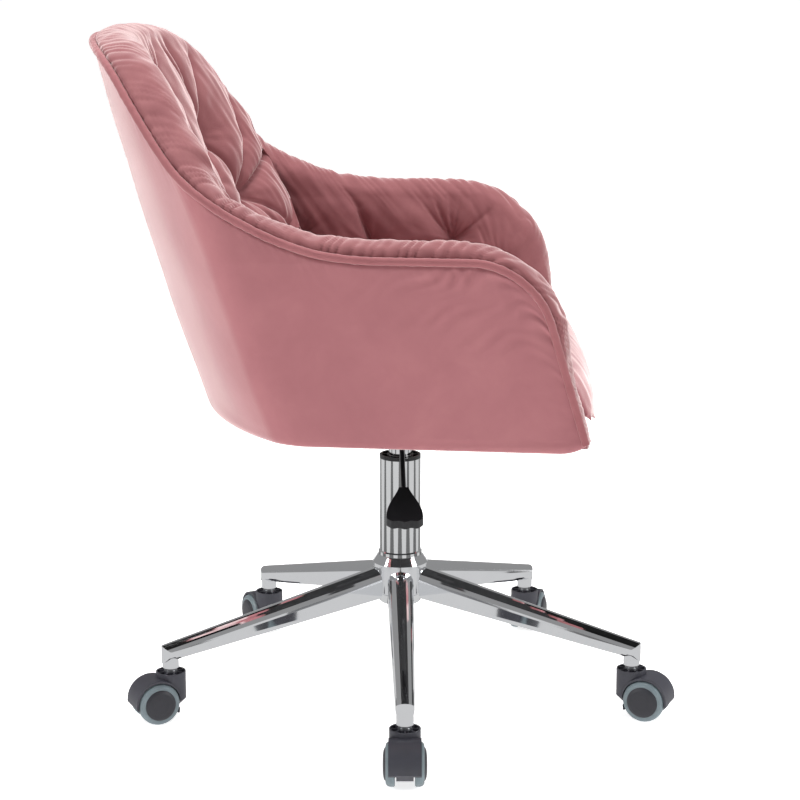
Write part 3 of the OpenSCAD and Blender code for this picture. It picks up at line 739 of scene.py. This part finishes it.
def seat_cushion():
    cols, rows = 60, 60
    low, gap, shy = BOARD_TOP_Z, 4.5, 3.0
    ref_w = float(half_w(low)) - ARM_PAD_T - gap
    x = np.linspace(-1, 1, cols)[:, None]
    o = 0 * x
    lip = float(low_z(0.5)) + 1
    r = float(back_r(low)) - BACK_PAD_T - gap
    f = np.sqrt(1 - np.abs(x) ** 8)
    back = float(back_y(low)) - float(back_r(low)) + np.sqrt(r * r - (x * ref_w) ** 2) - 55 * (1 - f)
    crown = 462 - shy - 18 * (1 - f)
    bow = 7 * (1 - x ** 2) - shy
    controls = [
        (-209 + o, lip + o), (-209 + o, low + o), (back, low + o), (back + 3, low + 14 + o),
        (back + 5, crown - 22), (back, crown - 8), (back - 18, crown - 1), (mix(-140, back, 0.66), crown + 6),
        (mix(-140, back, 0.33), crown + 7), (-145 + o, crown + 4), (-172 - bow / 2, crown + 1),
        (-191 - bow * 0.7, crown - 6), (-205 - bow, crown - 19), (-215 - bow, crown - 36),
        (-222 - bow, crown - 55), (-224 - bow, crown - 72), (-221 - bow, lip + 6 + o),
        (-214 - bow, lip - 1 + o)]
    c = np.stack([np.concatenate([a, b], 1) for a, b in controls], 1)
    s = np.concatenate([[0, 0.5, 1, 1.5, 2], np.linspace(2, c.shape[1] - 1, rows)[1:]])
    yz = spline_rows(c, s)
    flare = (half_w(np.maximum(yz[..., 1], low)) - ARM_PAD_T - gap) / ref_w
    p = np.stack([x * ref_w * flare, yz[..., 0], yz[..., 1]], -1)
    obj = skin("seat_pad", p)
    swell(obj, 4.0, 4.0, 5.5)
    # creases of the drawn-down front edge and the filling's unevenness, then the underside flat on its board
    count = len(obj.data.vertices)
    co, no = np.empty(count * 3), np.empty(count * 3)
    obj.data.vertices.foreach_get("co", co)
    obj.data.vertices.foreach_get("normal", no)
    co, no = co.reshape(-1, 3) / MM, no.reshape(-1, 3)
    front = ease((-175 - co[:, 1]) / 20)
    crease = np.sin(co[:, 0] / 5.2 + 1.8 * wander(43, 40, 120)(co[:, 0]))
    broad = 1.0 * ripple(41, 6, 60, 150)(co[:, 0], co[:, 1])
    d = broad + 0.35 * ripple(42, 8, 14, 40)(co[:, 0], co[:, 1]) + 0.6 * crease * front
    co = co + no * (d * ease((co[:, 2] - low - 2) / 12))[:, None]
    rests = (co[:, 1] > -205) & (co[:, 2] < low + 3)
    co[:, 2] = np.where(rests, np.maximum(co[:, 2], low + 0.2), co[:, 2])
    co[:, 1] = np.where(co[:, 2] < low, np.minimum(co[:, 1], -207), co[:, 1])
    obj.data.vertices.foreach_set("co", (co * MM).ravel())
    obj.data.update()
    upholster(obj, velvet_mat, "seat_cushion")


outer_cover()
piping()
inner_padding()
seat_cushion()


# ---- Studio ----

FLOOR_GLOW = 0.74
WORLD_LIGHT = 0.3

def stage_plane(name, size, location, rotation, material):
    bpy.ops.mesh.primitive_plane_add(size=1, location=location, rotation=rotation)
    o = bpy.context.active_object
    o.name = name
    o.scale = (size[0], size[1], 1)
    o.data.materials.append(material)
    return o


def glow(name, colour, strength):
    m, t, b = node_material(name)
    b.inputs["Base Color"].default_value = (*colour, 1)
    b.inputs["Roughness"].default_value = 0.9
    b.inputs["Specular IOR Level"].default_value = 0.0
    b.inputs["Emission Color"].default_value = (1, 1, 1, 1)
    b.inputs["Emission Strength"].default_value = strength
    return m


def only(o, *kinds):
    """Leaves the object visible to these kinds of ray and no others."""
    for kind in ("camera", "diffuse", "glossy", "transmission", "volume_scatter", "shadow"):
        setattr(o, "visible_" + kind, kind in kinds)


FLAT = (0, 0, 0)
floor_mat = glow("studio_floor", (0.93, 0.93, 0.93), FLOOR_GLOW)
stage_plane("studio_floor", (80, 80), (0, 0, 0), FLAT, floor_mat)
backdrop_mat = glow("studio_backdrop", (0, 0, 0), 1.0)
for k in range(8):
    a = k * math.pi / 4
    wall = stage_plane("studio_backdrop_%d" % k, (36, 30), (38 * math.cos(a), 38 * math.sin(a), 12),
                       (math.radians(90), 0, a + math.radians(90)), backdrop_mat)
    only(wall, "camera")
black_card_mat = glow("black_card", (0.0, 0.0, 0.0), 0.01)
grey_card_mat = glow("grey_card", (0.0, 0.0, 0.0), 0.16)

# Cards that only reflections show: dark overhead and behind the camera, grey below with darker strips
only(stage_plane("card_overhead", (5, 5), (0, 0, 2.6), FLAT, black_card_mat), "glossy")
upright = (math.radians(90), 0, math.radians(-90))
only(stage_plane("card_camera", (1.5, 2.6), (-4.5, 0, 1.3), upright, grey_card_mat), "glossy")
soft_card_mat = glow("soft_card", (0, 0, 0), 0.66)
only(stage_plane("card_floor", (16, 16), (0, 0, 0.0004), FLAT, soft_card_mat), "glossy")
for k in range(8):
    a = k * math.pi / 4
    place = (2.2 * math.cos(a), 2.2 * math.sin(a), 0.0008)
    only(stage_plane("card_strip_%d" % k, (3.2, 0.26), place, (0, 0, a), grey_card_mat), "glossy")

bpy.context.scene.view_settings.view_transform = "Standard"
world = bpy.data.worlds.new("studio")
bpy.context.scene.world = world
world.use_nodes = True
world.node_tree.nodes["Background"].inputs["Color"].default_value = (1, 1, 1, 1)
world.node_tree.nodes["Background"].inputs["Strength"].default_value = WORLD_LIGHT


def area_light(name, location, target, size, energy):
    data = bpy.data.lights.new(name, "AREA")
    data.shape = "RECTANGLE"
    data.size, data.size_y = size
    data.energy = energy
    o = bpy.data.objects.new(name, data)
    o.location = location
    o.rotation_euler = (Vector(target) - Vector(location)).to_track_quat("-Z", "Y").to_euler()
    bpy.context.scene.collection.objects.link(o)
    return o


area_light("rear_key", (-1.3, 2.7, 2.2), (0, 0, 0.5), (1.2, 1.8), 43)
area_light("front_key", (-0.9, -2.8, 1.8), (0, 0, 0.5), (1.2, 1.8), 43)
area_light("top", (0.3, 0.2, 3.0), (0, 0, 0.5), (1.6, 1.6), 95)
